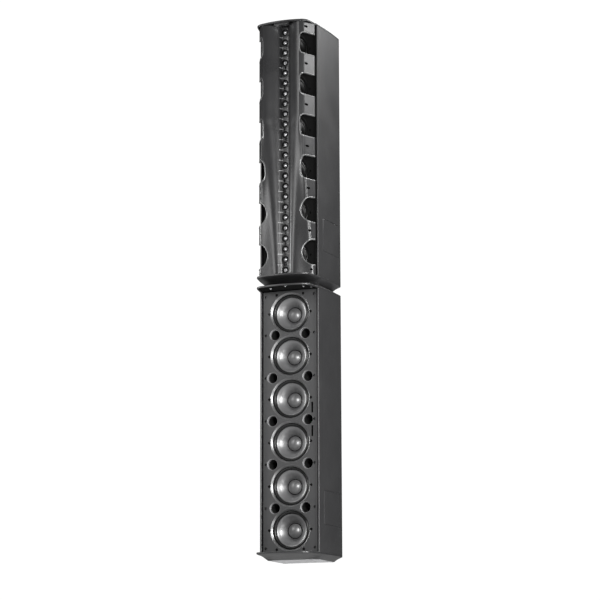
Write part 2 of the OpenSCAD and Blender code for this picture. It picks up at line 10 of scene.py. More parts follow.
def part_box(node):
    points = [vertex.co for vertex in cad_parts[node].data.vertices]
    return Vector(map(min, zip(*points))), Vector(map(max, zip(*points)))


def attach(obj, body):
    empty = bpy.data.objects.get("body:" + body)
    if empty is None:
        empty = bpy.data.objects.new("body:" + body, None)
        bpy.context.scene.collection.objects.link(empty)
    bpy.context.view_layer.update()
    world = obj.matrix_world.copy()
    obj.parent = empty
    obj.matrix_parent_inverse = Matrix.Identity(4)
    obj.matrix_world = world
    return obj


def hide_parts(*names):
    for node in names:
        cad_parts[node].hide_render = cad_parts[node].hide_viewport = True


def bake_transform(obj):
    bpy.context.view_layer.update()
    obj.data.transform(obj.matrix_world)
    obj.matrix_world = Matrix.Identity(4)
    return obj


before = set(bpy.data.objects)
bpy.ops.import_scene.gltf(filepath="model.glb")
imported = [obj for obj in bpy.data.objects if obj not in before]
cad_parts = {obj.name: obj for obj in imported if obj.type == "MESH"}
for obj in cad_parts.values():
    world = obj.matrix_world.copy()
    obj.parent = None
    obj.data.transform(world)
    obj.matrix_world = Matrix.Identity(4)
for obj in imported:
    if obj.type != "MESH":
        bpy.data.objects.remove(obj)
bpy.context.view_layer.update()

MM = 0.001
TAU = 2 * math.pi

# ---------------------------------------------------------------- places, read from the frame
BAFFLE_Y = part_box("lf_baffle")[0].y
BACK_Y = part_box("lf_back_panel")[1].y
HALF_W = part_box("lf_bottom_cap")[1].x
CAP_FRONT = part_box("lf_bottom_cap")[0].y
SIDE_Z0, SIDE_Z1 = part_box("lf_side_right")[0].z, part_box("lf_side_right")[1].z
LIP_H = 6 * MM
PAN_H = SIDE_Z0 - LIP_H
CAB_H = SIDE_Z1 - SIDE_Z0 + 2 * LIP_H
CABINETS = {"lf": PAN_H, "hf": 3 * PAN_H + CAB_H}
MID = CAB_H / 2
WALL = 6 * MM
WALL_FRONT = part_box("lf_side_right")[0].y
PANEL_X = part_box("lf_back_panel")[1].x

WOOFER_PITCH = 163 * MM
WOOFER_Z = [MID + WOOFER_PITCH * (i - 2.5) for i in range(6)]
ROW_Z = [z + WOOFER_PITCH / 2 for z in WOOFER_Z[:-1]]
EDGE_SCREW_Z = [MID - 474 * MM] + ROW_Z + [MID + 474 * MM]
TWEETER_PITCH = WOOFER_PITCH / 4
TWEETER_Z = [MID + TWEETER_PITCH * (i - 11.5) for i in range(24)]

# ---------------------------------------------------------------- mesh helpers


class Shape:
    """Vertices and faces gathered from several builders, each face with a material number."""

    def __init__(self):
        self.points = []
        self.faces = []
        self.slots = []

    def add(self, points, faces, slot=0):
        start = len(self.points)
        self.points += [tuple(p) for p in points]
        self.faces += [tuple(start + k for k in f) for f in faces]
        self.slots += [slot] * len(faces)

    def grid(self, rows, slot=0, closed_rows=False, closed_columns=False, flip=False):
        """A surface through rows of points, each row the same length."""
        n, m = len(rows), len(rows[0])
        points = [p for row in rows for p in row]
        faces = []
        for i in range(n if closed_rows else n - 1):
            for k in range(m if closed_columns else m - 1):
                a, b = i * m + k, i * m + (k + 1) % m
                c, d = ((i + 1) % n) * m + (k + 1) % m, ((i + 1) % n) * m + k
                faces.append((a, d, c, b) if flip else (a, b, c, d))
        self.add(points, faces, slot)

    def lathe(self, profile, x, z, steps=96, slot=0, y=BAFFLE_Y, closed=False):
        """A profile of (radius, distance behind y) turned about the line X = x, Z = z."""
        rows = []
        for r, d in profile:
            rows.append([
                (x + r * math.cos(TAU * k / steps), y + d, z + r * math.sin(TAU * k / steps))
                for k in range(steps)
            ])
        self.grid(rows, slot, closed_rows=closed, closed_columns=True, flip=True)

    def make(self, name, materials, angle=35, body="cabinets", replaces=(), slot=None):
        mesh = bpy.data.meshes.new(name)
        mesh.from_pydata([tuple(p) for p in self.points], [], self.faces)
        for material in materials:
            mesh.materials.append(material)
        mesh.polygons.foreach_set("material_index", self.slots)
        mesh.update()
        piece = bpy.data.objects.new(name, mesh)
        bpy.context.scene.collection.objects.link(piece)
        tidy(piece, angle)
        if body:
            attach(piece, body)
        if replaces:
            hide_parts(*replaces)
        return piece


def tidy(piece, angle):
    """Merges shared points, turns the faces outwards and smooths what isn't a real edge."""
    bm = bmesh.new()
    bm.from_mesh(piece.data)
    bmesh.ops.remove_doubles(bm, verts=bm.verts, dist=0.01 * MM)
    bmesh.ops.dissolve_degenerate(bm, edges=bm.edges, dist=0.005 * MM)
    bmesh.ops.recalc_face_normals(bm, faces=bm.faces)
    bm.to_mesh(piece.data)
    bm.free()
    piece.data.shade_smooth()
    piece.data.set_sharp_from_angle(angle=math.radians(angle))


def apply_modifiers(piece):
    """Puts the result of a piece's modifiers into its mesh."""
    graph = bpy.context.evaluated_depsgraph_get()
    mesh = bpy.data.meshes.new_from_object(piece.evaluated_get(graph))
    piece.modifiers.clear()
    piece.data = mesh


def cut(piece, cutter, angle=35):
    """Takes the cutter's closed shapes out of the piece."""
    modifier = piece.modifiers.new("cut", "BOOLEAN")
    modifier.operation = "DIFFERENCE"
    modifier.solver = "EXACT"
    modifier.material_mode = "TRANSFER"
    modifier.object = cutter
    apply_modifiers(piece)
    bpy.data.objects.remove(cutter)
    piece.data.shade_smooth()
    piece.data.set_sharp_from_angle(angle=math.radians(angle))


def mirrored(piece):
    """Adds the piece's mirror image in X to its mesh."""
    modifier = piece.modifiers.new("mirror", "MIRROR")
    modifier.use_axis = (True, False, False)
    modifier.use_mirror_merge = False
    apply_modifiers(piece)


def shared_ends(points):
    """Face that closes a ring of points."""
    return [tuple(range(len(points)))]


# ---------------------------------------------------------------- plan outline of a cabinet
BOW_R, SIDE_R, NOSE_R, HEEL_R = 300 * MM, 1150 * MM, 34 * MM, 18 * MM
SIDE_Y = BAFFLE_Y + 180 * MM
BOW_C = Vector((0, CAP_FRONT + BOW_R))
SIDE_C = Vector((HALF_W - SIDE_R, SIDE_Y))


def meeting_point(a, ra, b, rb):
    """The right-hand point at distance ra from a and rb from b."""
    gap = b - a
    d = gap.length
    along = (ra * ra - rb * rb + d * d) / (2 * d)
    across = math.sqrt(ra * ra - along * along)
    u = gap / d
    return a + along * u + across * Vector((u.y, -u.x))


NOSE_C = meeting_point(SIDE_C, SIDE_R - NOSE_R, BOW_C, BOW_R - NOSE_R)
HEEL_Y = BACK_Y - HEEL_R
HEEL_C = Vector((SIDE_C.x + math.sqrt((SIDE_R - HEEL_R) ** 2 - (HEEL_Y - SIDE_Y) ** 2), HEEL_Y))
BOW_END = math.atan2(NOSE_C.y - BOW_C.y, NOSE_C.x - BOW_C.x)
SIDE_START = math.atan2(NOSE_C.y - SIDE_C.y, NOSE_C.x - SIDE_C.x)
SIDE_END = math.atan2(HEEL_C.y - SIDE_C.y, HEEL_C.x - SIDE_C.x)


def arc(c, r, a, b, n):
    return [c + r * Vector((math.cos(a + (b - a) * k / n), math.sin(a + (b - a) * k / n)))
            for k in range(n + 1)]


def half_outline(inset):
    """Right half of the outline, from the middle of the bowed front to the flat back."""
    r = max(NOSE_R - inset, 0.5 * MM)
    h = max(HEEL_R - inset, 0.5 * MM)
    return (arc(BOW_C, BOW_R - inset, -math.pi / 2, BOW_END, 16)
            + arc(NOSE_C, r, BOW_END, SIDE_START, 12)[1:]
            + arc(SIDE_C, SIDE_R - inset, SIDE_START, SIDE_END, 24)[1:]
            + arc(HEEL_C, h, SIDE_END, math.pi / 2, 8)[1:])


def outline(inset=0.0):
    """The whole outline, anticlockwise from above."""
    right = half_outline(inset)
    left = [Vector((-p.x, p.y)) for p in reversed(right) if p.x > 0.1 * MM]
    return right + left


def side_x(y, inset=0.0):
    """Half-width of the cabinet at a place along its depth."""
    r = SIDE_R - inset
    return SIDE_C.x + math.sqrt(r * r - (y - SIDE_Y) ** 2)


# ---------------------------------------------------------------- materials


ROUGH_SPAN = 0.08
BROAD_SCALE, BROAD_DETAIL, FINE_DETAIL = 9, 4, 3
COAT_ROUGHNESS, BUMP_DEPTH = 0.25, 0.15 * MM


def node_material(name, color, roughness, grain=0.0, grain_scale=1400, mottle=0.08,
                  metallic=0.0, coat=0.0, brushed=None, specular=0.5):
    """A moulded, painted or metal finish: a mottled colour, an uneven roughness and a fine grain.
    brushed is the direction of a metal's brush marks, as a stretch of the grain along X, Y and Z."""
    material = bpy.data.materials.new(name)
    material.use_nodes = True
    tree = material.node_tree
    nodes, links = tree.nodes, tree.links
    shader = nodes["Principled BSDF"]
    shader.inputs["Metallic"].default_value = metallic
    shader.inputs["Coat Weight"].default_value = coat
    shader.inputs["Coat Roughness"].default_value = COAT_ROUGHNESS
    shader.inputs["Specular IOR Level"].default_value = specular
    place = nodes.new("ShaderNodeTexCoord")
    stretch = nodes.new("ShaderNodeMapping")
    stretch.inputs["Scale"].default_value = brushed or (1, 1, 1)
    links.new(place.outputs["Object"], stretch.inputs["Vector"])

    broad = nodes.new("ShaderNodeTexNoise")
    broad.inputs["Scale"].default_value = BROAD_SCALE
    broad.inputs["Detail"].default_value = BROAD_DETAIL
    links.new(place.outputs["Object"], broad.inputs["Vector"])
    fine = nodes.new("ShaderNodeTexNoise")
    fine.inputs["Scale"].default_value = grain_scale
    fine.inputs["Detail"].default_value = FINE_DETAIL
    links.new(stretch.outputs["Vector"], fine.inputs["Vector"])

    shades = nodes.new("ShaderNodeMix")
    shades.data_type = "RGBA"
    shades.inputs[6].default_value = [c * (1 - mottle) for c in color] + [1]
    shades.inputs[7].default_value = [min(1, c * (1 + mottle)) for c in color] + [1]
    both = nodes.new("ShaderNodeMath")
    both.operation = "MULTIPLY_ADD"
    both.inputs[1].default_value = 0.5
    links.new(broad.outputs["Fac"], both.inputs[0])
    half = nodes.new("ShaderNodeMath")
    half.operation = "MULTIPLY"
    half.inputs[1].default_value = 0.5
    links.new(fine.outputs["Fac"], half.inputs[0])
    links.new(half.outputs[0], both.inputs[2])
    links.new(both.outputs[0], shades.inputs[0])
    links.new(shades.outputs[2], shader.inputs["Base Color"])

    spread = nodes.new("ShaderNodeMapRange")
    spread.inputs["From Min"].default_value = 0.3
    spread.inputs["From Max"].default_value = 0.7
    spread.inputs["To Min"].default_value = max(0.02, roughness - ROUGH_SPAN)
    spread.inputs["To Max"].default_value = min(1, roughness + ROUGH_SPAN)
    links.new(both.outputs[0], spread.inputs["Value"])
    links.new(spread.outputs["Result"], shader.inputs["Roughness"])

    if grain:
        bump = nodes.new("ShaderNodeBump")
        bump.inputs["Strength"].default_value = grain
        bump.inputs["Distance"].default_value = BUMP_DEPTH
        links.new(fine.outputs["Fac"], bump.inputs["Height"])
        links.new(bump.outputs["Normal"], shader.inputs["Normal"])
    return material


SKIN = node_material("cabinet_skin", (0.013, 0.013, 0.0135), 0.44, grain=0.5, grain_scale=900)
CAP = node_material("cap_moulding", (0.013, 0.013, 0.0135), 0.38, grain=0.4, grain_scale=1100)
PLATE = node_material("end_plate", (0.45, 0.45, 0.46), 0.45, grain=0.25, grain_scale=700,
                      metallic=0.1, brushed=(0.04, 1, 1))
BAFFLE = node_material("baffle_paint", (0.020, 0.020, 0.0205), 0.46, grain=0.5, grain_scale=1000,
                       specular=0.42)
# Darker, duller copy of the baffle paint: painted shade for the upper baffle behind the waveguide
BAFFLE_PAINTED_SHADE = node_material("baffle_paint_painted_shade", (0.004, 0.004, 0.004), 0.6, grain=0.4, grain_scale=1000,
                              specular=0.06)
# Much lighter copy of the waveguide plastic on the small ribs: a painted highlight
RIB_PAINTED_HIGHLIGHT = node_material("waveguide_rib_painted_highlight", (0.16, 0.16, 0.162), 0.35, grain=0.2)
# Near-black with almost no reflection: painted shade for recesses, the lip channels and the grooves round the
# dust caps
PAINTED_SHADE_BLACK = node_material("painted_shade_inside", (0.006, 0.006, 0.006), 0.85, grain=0.3, specular=0.05)
PORT = node_material("port_plastic", (0.02, 0.02, 0.02), 0.45, grain=0.3, grain_scale=800)
RUBBER = node_material("surround_rubber", (0.006, 0.006, 0.006), 0.28, grain=0.2, grain_scale=2500,
                       specular=0.2)
CONE = node_material("cone_coating", (0.055, 0.055, 0.056), 0.38, grain=0.15, grain_scale=500,
                     coat=0.4, specular=0.9)
DOME = node_material("dust_cap_coating", (0.070, 0.070, 0.071), 0.42, grain=0.1, grain_scale=900,
                     coat=0.4, specular=0.9)
# Much lighter copy of the baffle paint on the port mouths: painted light for their lit inner walls
MOUTH_PAINTED_LIGHT = node_material("port_mouth_painted_light", (0.12, 0.12, 0.122), 0.35, grain=0.2)
RIM = node_material("aperture_bevel_paint", (0.035, 0.035, 0.0355), 0.37, grain=0.1, grain_scale=1000,
                    coat=0.5, specular=0.9)
# Darker, duller copy of the cone coating: painted shade for the upper woofers behind the waveguide
CONE_PAINTED_SHADE = node_material("cone_coating_painted_shade", (0.005, 0.005, 0.005), 0.4, grain=0.15, grain_scale=500,
                            specular=0.14)
BASKET = node_material("basket_paint", (0.02, 0.02, 0.021), 0.4, grain=0.2)
# Near-black with almost no reflection: partly the screws' own black, partly painted shade for their recesses
SCREW_BLACK_AND_SHADE = node_material("screw_black", (0.004, 0.004, 0.004), 0.55, grain=0.1, specular=0.04)
SCREW_ZINC = node_material("screw_zinc", (0.30, 0.30, 0.31), 0.32, metallic=0.9, grain=0.1)
SCREW_DARK = node_material("screw_dark", (0.05, 0.05, 0.052), 0.35, metallic=0.6, grain=0.1)
GUIDE = node_material("waveguide_plastic", (0.014, 0.014, 0.0145), 0.31, grain=0.3, grain_scale=1300)
TWEETER_RING = node_material("tweeter_ring_plastic", (0.004, 0.004, 0.004), 0.5, grain=0.1, specular=0.08)
TWEETER_DOME = node_material("tweeter_dome", (0.42, 0.42, 0.43), 0.30, metallic=0.7, grain=0.1)
STEEL = node_material("zinc_plated_steel", (0.42, 0.42, 0.43), 0.36, metallic=0.9, grain=0.15,
                      grain_scale=600)
SPIDER = node_material("spider_cloth", (0.34, 0.23, 0.11), 0.85, grain=0.9, grain_scale=1800, mottle=0.2)
COPPER = node_material("coil_copper", (0.62, 0.26, 0.12), 0.35, metallic=0.9, grain=0.4, brushed=(1, 9, 1))
LAMINATE = node_material("board_laminate", (0.020, 0.10, 0.035), 0.45, grain=0.2, mottle=0.2)
FIBRE = node_material("wadding_fibre", (0.72, 0.71, 0.68), 0.95, grain=1.0, grain_scale=350, mottle=0.12)
TRAY = node_material("input_plate_paint", (0.016, 0.016, 0.017), 0.5, grain=0.6, grain_scale=1300)
TERMINAL = node_material("terminal_plastic", (0.018, 0.13, 0.045), 0.4, grain=0.2)
CONTROL = node_material("control_plastic", (0.013, 0.013, 0.014), 0.35, grain=0.2)
BRASS = node_material("insert_brass", (0.60, 0.42, 0.15), 0.32, metallic=0.95, grain=0.2, brushed=(1, 8, 1))

# ---------------------------------------------------------------- shell
COVER_Z = [110 * MM, 234 * MM]
COVER_Y = [BAFFLE_Y + 30 * MM, BAFFLE_Y + 168 * MM]
COVER_GAP = 1.2 * MM
COVER_T = 2 * MM
RECESS = 3 * MM


def outer_run():
    """Depth positions along a side, with lines at the cover's edges."""
    lines = [WALL_FRONT, COVER_Y[0] - COVER_GAP, COVER_Y[1] + COVER_GAP, HEEL_C.y]
    steps = [6, 16, 3]
    run = [WALL_FRONT]
    for (a, b), n in zip(zip(lines, lines[1:]), steps):
        run += [a + (b - a) * (k + 1) / n for k in range(n)]
    return run


def side_panel(name, z_low, sign):
    """A bowed side with a rounded heel, and a recess for its cover."""
    z0, z1 = z_low + LIP_H, z_low + CAB_H - LIP_H
    edge = 1.2 * MM
    run = outer_run()
    skin = [Vector((side_x(y), y)) for y in run]
    heel = arc(HEEL_C, HEEL_R, SIDE_END, math.pi / 2, 10)
    front = [Vector((side_x(WALL_FRONT, WALL - edge), WALL_FRONT)),
             Vector((side_x(WALL_FRONT, edge), WALL_FRONT)),
             Vector((side_x(WALL_FRONT, 0.35 * edge), WALL_FRONT + 0.35 * edge))]
    skin[0] = Vector((side_x(WALL_FRONT + edge), WALL_FRONT + edge))
    inner = [Vector((side_x(y, WALL), y)) for y in (HEEL_C.y, SIDE_Y, BAFFLE_Y, WALL_FRONT + edge)]
    tail = [Vector((PANEL_X, BACK_Y)), Vector((PANEL_X, BACK_Y - WALL)),
            Vector((HEEL_C.x, BACK_Y - WALL))]
    ring = front + skin + heel[1:] + tail + inner
    z_lines = [z0, z_low + COVER_Z[0] - COVER_GAP, z_low + COVER_Z[1] + COVER_GAP]
    z_lines += [z_lines[-1] + (z1 - z_lines[-1]) * k / 6 for k in range(1, 7)]
    shape = Shape()
    first, last = len(front) + 6, len(front) + 6 + 16
    n = len(ring)
    points = [(sign * p.x, p.y, z) for z in z_lines for p in ring]
    faces = []
    for i in range(len(z_lines) - 1):
        for k in range(n):
            if i == 1 and first <= k < last:
                continue
            faces.append((i * n + k, i * n + (k + 1) % n, (i + 1) * n + (k + 1) % n, (i + 1) * n + k))
    faces += [tuple(range(n)), tuple(range((len(z_lines) - 1) * n, len(z_lines) * n))]
    # The recess: its floor lies behind the skin, and its four walls join the two
    low = [1 * n + k for k in range(first, last + 1)]
    high = [2 * n + k for k in range(first, last + 1)]
    start = len(points)
    sunk = [Vector((side_x(ring[k].y, RECESS), ring[k].y)) for k in range(first, last + 1)]
    points += [(sign * p.x, p.y, z_lines[1]) for p in sunk]
    points += [(sign * p.x, p.y, z_lines[2]) for p in sunk]
    m = len(sunk)
    for k in range(m - 1):
        faces.append((start + k, start + k + 1, start + m + k + 1, start + m + k))
        faces.append((low[k], low[k + 1], start + k + 1, start + k))
        faces.append((high[k], high[k + 1], start + m + k + 1, start + m + k))
    for k, s in ((0, start), (m - 1, start + m - 1)):
        faces.append((low[k], high[k], s + m, s))
    shape.add(points, faces)
    return shape.make(name + "_visual", [SKIN], 30, replaces=[name], slot="cabinet_skin")


def side_covers(name, z_low):
    """Two flush covers with softened edges."""
    soft = 0.7 * MM
    shape = Shape()
    for sign in (1, -1):
        rows = []
        z_lines = [COVER_Z[0], COVER_Z[0], COVER_Z[0] + soft, COVER_Z[1] - soft, COVER_Z[1], COVER_Z[1]]
        sinks = [COVER_T, soft, 0.1 * MM, 0.1 * MM, soft, COVER_T]
        y_lines = [COVER_Y[0], COVER_Y[0], COVER_Y[0] + soft]
        y_lines += [COVER_Y[0] + (COVER_Y[1] - COVER_Y[0]) * k / 16 for k in range(1, 16)]
        y_lines += [COVER_Y[1] - soft, COVER_Y[1], COVER_Y[1]]
        y_sinks = [COVER_T, soft] + [0.1 * MM] * 17 + [soft, COVER_T]
        for z, sink in zip(z_lines, sinks):
            rows.append([(sign * side_x(y, max(sink, s)), y, z_low + z) for y, s in zip(y_lines, y_sinks)])
        shape.grid(rows)
        rim = rows[0] + [row[-1] for row in rows[1:]] + rows[-1][-2::-1] + [row[0] for row in rows[-2:0:-1]]
        shape.add(rim, shared_ends(rim))
    return shape.make(name + "_visual", [SKIN], 40, replaces=[name], slot="cabinet_skin")


for cab, z in CABINETS.items():
    side_panel(f"{cab}_side_right", z, 1)
    side_panel(f"{cab}_side_left", z, -1)
    side_covers(f"{cab}_side_covers", z)

# ---------------------------------------------------------------- caps
PLATE_X, PLATE_FRONT, PLATE_BACK = 99 * MM, BAFFLE_Y + 22 * MM, BAFFLE_Y + 192 * MM
PLATE_CORNER = 10 * MM
CHANNEL_H = 4.5 * MM
HUB = Vector((0, BAFFLE_Y + 60 * MM))


def plate_outline(grow):
    """The end plate's outline, anticlockwise from the middle of its front edge."""
    x0, x1 = PLATE_X + grow, PLATE_X + grow + 2 * MM
    y0, y1 = PLATE_FRONT - grow, PLATE_BACK + grow
    r = PLATE_CORNER
    right = [Vector((0, y0)), Vector((x0 / 2, y0))]
    right += arc(Vector((x0 - r, y0 + r)), r, -math.pi / 2, 0, 8)
    right += arc(Vector((x1 - r, y1 - r)), r, 0, math.pi / 2, 8)
    right += [Vector((0, y1))]
    left = [Vector((-p.x, p.y)) for p in reversed(right) if p.x > 0.1 * MM]
    return right + left


RAYS = 240


def along_rays(points):
    """The outline's points on evenly spread rays from the hub."""
    result = []
    for k in range(RAYS):
        a = TAU * k / RAYS
        ray = Vector((math.sin(a), -math.cos(a)))
        best = 0
        for p, q in zip(points, points[1:] + points[:1]):
            side = q - p
            det = ray.x * side.y - ray.y * side.x
            if abs(det) < 1e-12:
                continue
            gap = p - HUB
            t = (gap.x * side.y - gap.y * side.x) / det
            s = (gap.x * ray.y - gap.y * ray.x) / det
            if -1e-6 <= s <= 1 + 1e-6 and t > best:
                best = t
        result.append(HUB + best * ray)
    return result


def cap(name, z_low, up):
    """A lip with rounded edges and a channel inside it, and a bevelled pan with a pocket for the plate."""
    round_r = 1.4 * MM
    levels = [
        (5.6, LIP_H - CHANNEL_H), (4.9, LIP_H - CHANNEL_H), (4.6, LIP_H - 0.4 * MM), (4.2, LIP_H),
        (round_r / MM, LIP_H), (0.3 * round_r / MM, LIP_H - 0.3 * round_r), (0, LIP_H - round_r),
        (0, 0.4 * MM), (0.25 * round_r / MM, -0.2 * MM), (round_r / MM, -0.8 * MM),
    ]
    rows = [[(p.x, p.y, z) for p in along_rays(outline(inset * MM))] for inset, z in levels]
    lip = along_rays(outline(levels[-1][0] * MM))
    rim = along_rays(plate_outline(2 * MM))
    z_lip, z_rim = levels[-1][1], -PAN_H
    for t in (0.25, 0.5, 0.75, 0.985):
        rows.append([(a.x + (b.x - a.x) * t, a.y + (b.y - a.y) * t, z_lip + (z_rim - z_lip) * t)
                     for a, b in zip(lip, rim)])
    rows.append([(p.x, p.y, z_rim) for p in along_rays(plate_outline(1.4 * MM))])
    rows.append([(p.x, p.y, z_rim) for p in along_rays(plate_outline(0.3 * MM))])
    rows.append([(p.x, p.y, z_rim + 2.2 * MM) for p in along_rays(plate_outline(0.3 * MM))])
    flip = -1 if up else 1
    base = z_low + (CAB_H if up else 0)
    rows = [[(x, y, base + flip * z) for x, y, z in row] for row in rows]
    shape = Shape()
    # The channel's floor and inner wall take the near-black painted shade
    shape.grid(rows[:2], 1, closed_columns=True)
    shape.grid(rows[1:], closed_columns=True)
    shape.add(rows[0], shared_ends(rows[0]), 1)
    shape.add(rows[-1], shared_ends(rows[-1]))
    return shape.make(name + "_visual", [CAP, PAINTED_SHADE_BLACK], 22, replaces=[name], slot="cap_moulding")


for cab, z in CABINETS.items():
    cap(f"{cab}_bottom_cap", z, False)
    cap(f"{cab}_top_cap", z, True)

# ---------------------------------------------------------------- lower baffle
BAFFLE_X = 107.5 * MM
FLAT_ANGLE = 13
RIM_R, THROAT_R = 77.8 * MM, 72 * MM
BAFFLE_T = 12 * MM
HEAD_R = 4.2 * MM
SINK, EDGE_SINK = 5 * MM, 7 * MM
WOOFER_SCREWS = ([(s * 83.3 * MM, z) for z in WOOFER_Z for s in (-1, 1)]
                 + [(s * 53.5 * MM, WOOFER_Z[-1] + 71.3 * MM) for s in (-1, 1)]
                 + [(s * 53.5 * MM, WOOFER_Z[0] - 71.3 * MM) for s in (-1, 1)])
EDGE_X = 97.5 * MM
PORT_R = 19 * MM
PORT_PLACES = [(s * (61 if k in (0, 4) else 71) * MM, z) for k, z in enumerate(ROW_Z) for s in (-1, 1)]
SLOT_X = 89 * MM


def box_shape(shape, low, high):
    """A plain block."""
    x0, y0, z0 = low
    x1, y1, z1 = high
    points = [(x0, y0, z0), (x1, y0, z0), (x1, y1, z0), (x0, y1, z0),
              (x0, y0, z1), (x1, y0, z1), (x1, y1, z1), (x0, y1, z1)]
    faces = [(0, 3, 2, 1), (4, 5, 6, 7), (0, 1, 5, 4), (1, 2, 6, 5), (2, 3, 7, 6), (3, 0, 4, 7)]
    shape.add(points, faces)


def closed_lathe(shape, profile, x, z, steps):
    """A turned solid whose profile starts and ends away from the axis, closed by end faces."""
    shape.lathe(profile, x, z, steps)
    for r, d in (profile[0], profile[-1]):
        ring = [(x + r * math.cos(TAU * k / steps), BAFFLE_Y + d, z + r * math.sin(TAU * k / steps))
                for k in range(steps)]
        shape.add(ring, shared_ends(ring))


def baffle(name, z_low, ports):
    """A flat board with bevelled woofer holes, screw recesses and, below, port mouths and slots."""
    shape = Shape()
    x = BAFFLE_X
    y0 = BAFFLE_Y
    box_shape(shape, (-x, y0, z_low + LIP_H), (x, y0 + BAFFLE_T, z_low + CAB_H - LIP_H))
    # The upper baffle gets the darker copy of the paint as painted shade
    paint = BAFFLE if ports else BAFFLE_PAINTED_SHADE
    piece = shape.make(name + "_visual", [paint], 30, replaces=[name], slot="baffle_paint")
    cutter = Shape()
    lead = 0.3 * MM
    for z in WOOFER_Z:
        closed_lathe(cutter, [(RIM_R + 1.0 * MM, -lead), (RIM_R + 0.7 * MM, 0), (RIM_R + 0.1 * MM, 0.3 * MM),
                              (RIM_R - 0.4 * MM, 1.0 * MM), (THROAT_R + 0.3 * MM, 6.2 * MM),
                              (THROAT_R, 7 * MM), (THROAT_R, BAFFLE_T + lead)], 0, z_low + z, 128)
    cut(piece, cutter.make(name + "_rims", [RIM if ports else paint], 30, body=None), FLAT_ANGLE)
    cutter = Shape()
    for sx, z in WOOFER_SCREWS:
        closed_lathe(cutter, [(HEAD_R + 1.2 * MM, -lead), (HEAD_R + 0.9 * MM, 0.3 * MM),
                              (HEAD_R + 0.8 * MM, SINK)], sx, z_low + z, 24)
    if ports:
        for s in (-1, 1):
            for z in EDGE_SCREW_Z:
                closed_lathe(cutter, [(HEAD_R + 0.9 * MM, -lead), (HEAD_R + 0.5 * MM, 0.4 * MM),
                                      (HEAD_R + 0.3 * MM, EDGE_SINK)], s * EDGE_X, z_low + z, 24)
            box_shape(cutter, (SLOT_X - 3.5 * MM, y0 - lead, z_low + MID + s * 44 * MM - 20 * MM),
                      (SLOT_X + 3.5 * MM, y0 + BAFFLE_T + lead, z_low + MID + s * 44 * MM + 20 * MM))
    # The screw recesses and slots take the near-black painted shade
    cut(piece, cutter.make(name + "_recesses", [PAINTED_SHADE_BLACK], 30, body=None), FLAT_ANGLE)
    if ports:
        cutter = Shape()
        for px, z in PORT_PLACES:
            closed_lathe(cutter, [(PORT_R + 2.6 * MM, -lead), (PORT_R + 2.2 * MM, 0.05 * MM),
                                  (PORT_R + 1.4 * MM, 0.7 * MM), (PORT_R + 0.7 * MM, 2 * MM),
                                  (PORT_R + 0.25 * MM, 4 * MM), (PORT_R, 6.5 * MM),
                                  (PORT_R, BAFFLE_T + lead)], px, z_low + z, 72)
        # The port mouths take the lighter copy of the paint as painted light
        cut(piece, cutter.make(name + "_ports", [MOUTH_PAINTED_LIGHT], 30, body=None), FLAT_ANGLE)
    return piece


baffle("lf_baffle", CABINETS["lf"], True)
baffle("hf_baffle", CABINETS["hf"], False)

# ---------------------------------------------------------------- woofers
CONE_R = 60.5 * MM
CAP_R = 30 * MM


# The surround: its roll's centre line, radius and depth, its flange's outer edge, and its sheet's thickness
ROLL_C, ROLL_R, ROLL_Y = 66.3 * MM, 5.5 * MM, 12.3 * MM
FLANGE_R, SHEET_T = 76 * MM, 0.6 * MM


def surround_profile():
    """A sheet folded into an outer flange, a half-roll and an inner leg that tucks behind the cone."""
    c, r = ROLL_C, ROLL_R
    points = [(FLANGE_R, 12.5 * MM), (c + r + 0.5 * MM, ROLL_Y)]
    points += [(c + r * math.cos(a), ROLL_Y - 1.05 * r * math.sin(a))
               for a in [math.pi * k / 20 for k in range(21)]]
    points += [(c - r - 0.1 * MM, 15 * MM), (c - r - 0.3 * MM, 17.6 * MM), (c - r - 4 * MM, 18.2 * MM)]
    inner = r - SHEET_T
    points += [(c - r - 4 * MM, 18.2 * MM + SHEET_T), (c - inner - 0.3 * MM, 17.6 * MM + SHEET_T),
               (c - inner - 0.1 * MM, 15 * MM)]
    points += [(c - inner * math.cos(a), ROLL_Y - 1.05 * inner * math.sin(a))
               for a in [math.pi * k / 20 for k in range(21)]]
    points += [(c + r + 0.5 * MM, ROLL_Y + SHEET_T), (FLANGE_R, 12.5 * MM + SHEET_T)]
    return points


def cone_profile():
    """Front face of the cone, gently curved, with a rolled rim."""
    rim = [(CONE_R, 17.0 * MM), (CONE_R, 15.9 * MM), (CONE_R - 0.6 * MM, 15.4 * MM),
           (CONE_R - 2.2 * MM, 15.5 * MM)]
    start, end = Vector((CONE_R - 3 * MM, 16.2 * MM)), Vector((CAP_R + 0.6 * MM, 46.6 * MM))
    bow = Vector((43 * MM, 24.5 * MM))
    body = []
    for k in range(1, 15):
        t = k / 14
        p = (1 - t) ** 2 * start + 2 * (1 - t) * t * bow + t * t * end
        body.append((p.x, p.y))
    edge = [(CAP_R - 0.4 * MM, 48 * MM), (CAP_R - 0.6 * MM, 52.4 * MM)]
    back = [(r + 0.5 * MM, d + 1.6 * MM) for r, d in reversed(body)]
    return rim + body + edge + back + [(CONE_R - 1 * MM, 17.6 * MM)]


def dust_cap_profile():
    """Dome that stands in a groove at the cone's inner edge."""
    r, rise = CAP_R - 3.2 * MM, 12 * MM
    ball = (r ** 2 + rise ** 2) / (2 * rise)
    half = math.asin(r / ball)
    top = 36.6 * MM
    dome = [(max(ball * math.sin(half * k / 14), 0.02 * MM), top + ball * (1 - math.cos(half * k / 14)))
            for k in range(15)]
    foot = top + rise
    return dome + [(r + 0.2 * MM, foot + 1.2 * MM), (r + 0.9 * MM, foot + 2.1 * MM),
                   (CAP_R + 0.8 * MM, foot + 2.1 * MM), (CAP_R + 0.6 * MM, foot + 3.0 * MM)]


